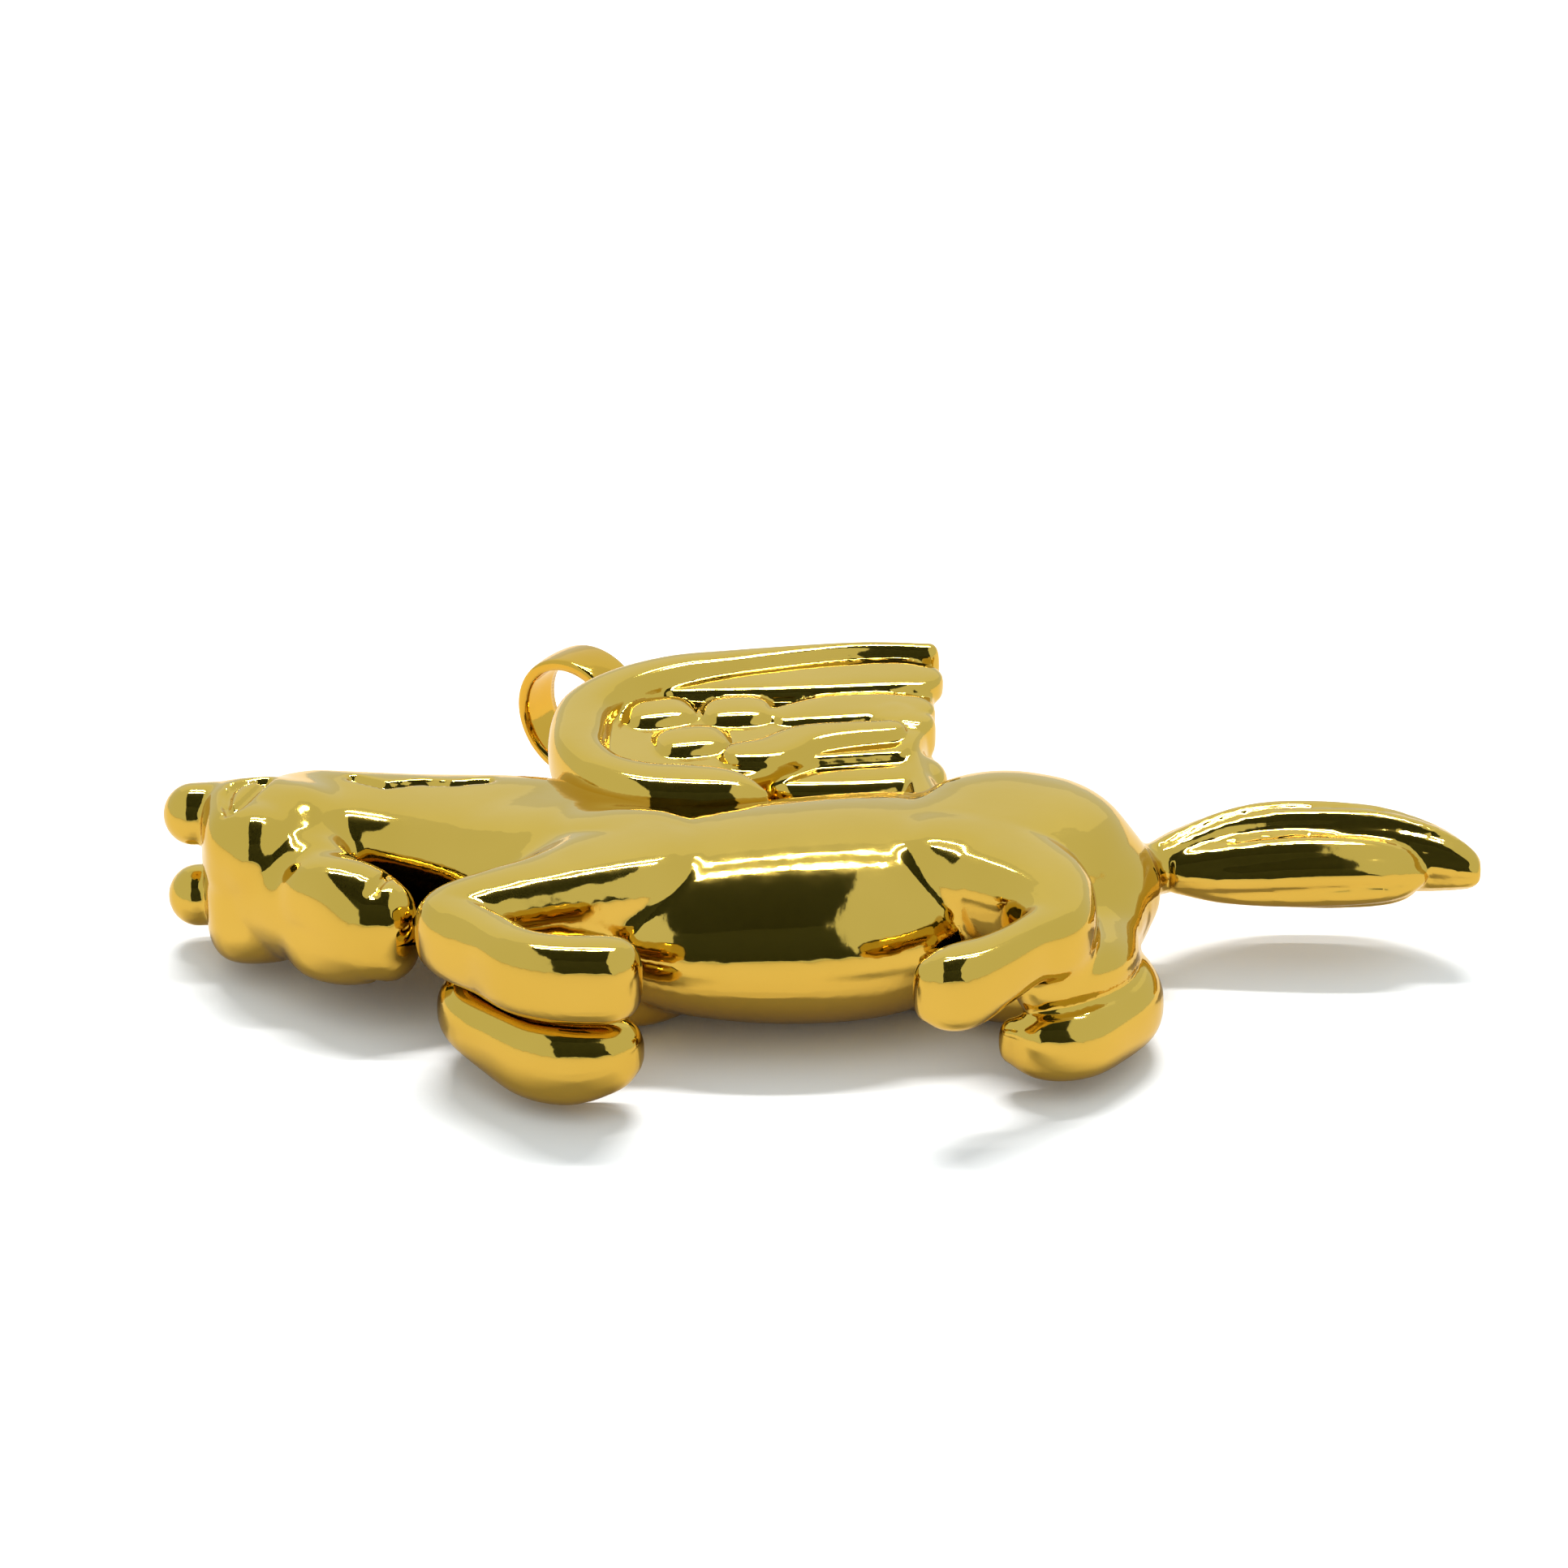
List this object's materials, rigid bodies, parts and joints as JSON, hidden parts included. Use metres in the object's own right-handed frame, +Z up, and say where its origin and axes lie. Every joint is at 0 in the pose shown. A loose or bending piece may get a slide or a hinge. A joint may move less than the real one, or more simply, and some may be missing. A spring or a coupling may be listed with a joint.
{
  "type": "winged horse pendant",
  "caption": "Polished gold galloping winged horse, hollow body halves with solid legs, tail and wings, hung from a swinging chain bail.",
  "frame": {"origin": "centre of the pendant's box on the surface that it lies on", "axes": "+X from head to tail, +Y from the feet to the wings and the bail, +Z up through the thickness, towards the horse's left side"},
  "size_m": [0.046, 0.0268, 0.007],
  "materials": {
    "gold": "mirror-polished yellow gold",
    "gold_wire": "polished yellow gold, slightly warmer"
  },
  "bodies": {
    "pendant": {"left_shell": "gold", "right_shell": "gold", "left_foreleg": "gold", "right_foreleg": "gold", "left_hind_leg": "gold", "right_hind_leg": "gold", "tail": "gold", "left_wing": "gold", "right_wing": "gold", "pivot_pin": "gold_wire"},
    "bail": {"bail_tube": "gold_wire", "bail_tongue": "gold_wire"}
  },
  "joints": [
    {"name": "bail_swing", "type": "hinge", "parent": "pendant", "child": "bail", "pos_m": [-0.00537, 0.00887, 0.0035], "axis": [0, 0, 1], "range_deg": [-75, 0]}
  ]
}
